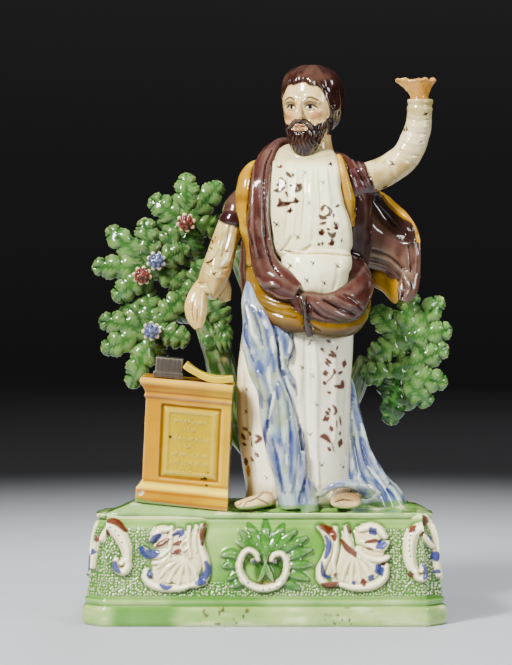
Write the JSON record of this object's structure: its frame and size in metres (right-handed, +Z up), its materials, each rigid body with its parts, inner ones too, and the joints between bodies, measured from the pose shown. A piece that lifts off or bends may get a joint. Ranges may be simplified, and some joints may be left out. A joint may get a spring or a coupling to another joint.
{
  "type": "pearlware figure",
  "caption": "Glazed earthenware figure of a bearded man in cloak and robe, one arm raised, beside a small altar under leafy branches on an oblong moulded base.",
  "frame": {"origin": "middle of the flat underside of the base", "axes": "+Z up, -Y towards the front of the figure, +X to the side of the raised arm"},
  "size_m": [0.2243, 0.1071, 0.3345],
  "materials": {
    "green_glaze": "glossy lead glaze",
    "ochre_glaze": "glossy lead glaze",
    "yellow_glaze": "glossy lead glaze",
    "grey_glaze": "glossy lead glaze",
    "pearl_glaze": "glossy pearl glaze over painted colours",
    "hair_glaze": "glossy pearl glaze over painted colours",
    "cloak_glaze": "glossy lead glaze",
    "leaf_glaze": "glossy lead glaze",
    "rust_glaze": "glossy lead glaze",
    "blue_glaze": "glossy lead glaze"
  },
  "bodies": {
    "root": {"base": "green_glaze", "altar": "ochre_glaze", "scroll": "yellow_glaze", "books": "grey_glaze", "figure": "pearl_glaze", "head": "hair_glaze", "raised_arm": "pearl_glaze", "lowered_arm": "pearl_glaze", "cloak_flap": "cloak_glaze", "tree_trunk": "leaf_glaze", "bocage_left": "leaf_glaze", "bocage_right": "leaf_glaze", "flower_1": "rust_glaze", "flower_2": "blue_glaze", "flower_3": "rust_glaze", "flower_4": "blue_glaze"}
  },
  "joints": []
}
